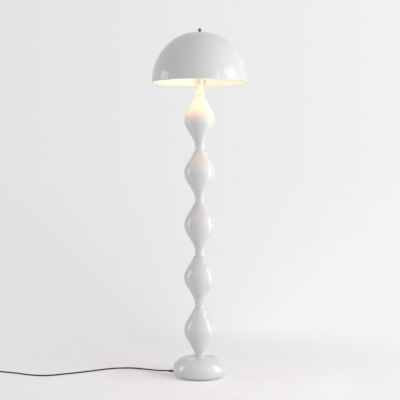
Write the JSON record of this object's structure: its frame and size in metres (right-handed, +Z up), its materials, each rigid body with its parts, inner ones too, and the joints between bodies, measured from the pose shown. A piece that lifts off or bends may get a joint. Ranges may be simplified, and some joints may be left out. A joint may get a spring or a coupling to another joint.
{
  "type": "mushroom floor lamp",
  "caption": "Floor lamp with a domed shade on a stem of turned waves and a pebble-shaped base; the shade lifts off and the switch turns.",
  "frame": {"origin": "on the floor under the stem's axis, at the bottom centre of the lamp without its free cord", "axes": "+Z up along the stem, -Y to the front, the cord leaves towards -X"},
  "size_m": [1.2924, 0.441, 1.5985],
  "materials": {
    "felt": "pressed felt",
    "zinc_steel": "zinc plated",
    "grey_iron": "as cast",
    "white_enamel": "gloss white enamel",
    "white_lacquer": "turned wood in gloss white lacquer",
    "holder_nickel": "satin nickel plate",
    "contact_brass": "dull brass",
    "fibre": "pressed fibre",
    "holder_core": "unglazed",
    "harp_nickel": "bright nickel plate",
    "black_plastic": "moulded",
    "frosted_glass": "frosted",
    "bulb_nickel": "plated",
    "black_glass": "gloss",
    "steel_washer": "brushed",
    "gunmetal": "satin gunmetal",
    "black_pvc": "moulded",
    "plug_brass": "nickel washed"
  },
  "bodies": {
    "stand": {"base_pad": "felt", "bottom_plate": "zinc_steel", "plate_screws": "zinc_steel", "base_weight": "grey_iron", "base_shell": "white_enamel", "base_hub": "zinc_steel", "pipe_washer": "zinc_steel", "pipe_nut": "zinc_steel", "stem_pipe": "zinc_steel", "foot_collar": "white_enamel", "stem_segment_1": "white_lacquer", "stem_segment_2": "white_lacquer", "stem_segment_3": "white_lacquer", "stem_segment_4": "white_lacquer", "stem_segment_5": "white_lacquer", "neck_collar": "white_enamel", "harp_saddle": "harp_nickel", "harp_ferrules": "harp_nickel", "harp_wire": "harp_nickel", "harp_stud": "harp_nickel", "socket_cap": "holder_nickel", "socket_shell": "holder_nickel", "socket_sleeve": "fibre", "socket_core": "holder_core", "screw_shell": "contact_brass", "centre_contact": "contact_brass", "strain_relief": "black_pvc", "riser_cord": "black_pvc", "cord": "black_pvc", "cord_coil": "black_pvc", "cord_tie": "black_plastic", "plug_body": "black_pvc", "plug_blades": "plug_brass"},
    "shade": {"shade_dome": "white_enamel", "shade_washer": "steel_washer"},
    "finial": {"finial": "gunmetal"},
    "switch": {"switch_spindle": "contact_brass", "switch_knob": "black_plastic"},
    "bulb": {"bulb_glass": "frosted_glass", "bulb_cap": "bulb_nickel", "bulb_insulator": "black_glass", "bulb_contact": "bulb_nickel"}
  },
  "joints": [
    {"name": "shade_lift", "type": "slide", "parent": "stand", "child": "shade", "axis": [0, 0, 1], "range_m": [0, 0.26]},
    {"name": "finial_turn", "type": "hinge", "parent": "shade", "child": "finial", "pos_m": [0, 0, 1.59], "axis": [0, 0, 1], "continuous": true},
    {"name": "switch_turn", "type": "hinge", "parent": "stand", "child": "switch", "pos_m": [0, 0.02, 1.369], "axis": [0, 1, 0], "continuous": true},
    {"name": "bulb_turn", "type": "hinge", "parent": "stand", "child": "bulb", "pos_m": [0, 0, 1.4], "axis": [0, 0, 1], "continuous": true}
  ]
}
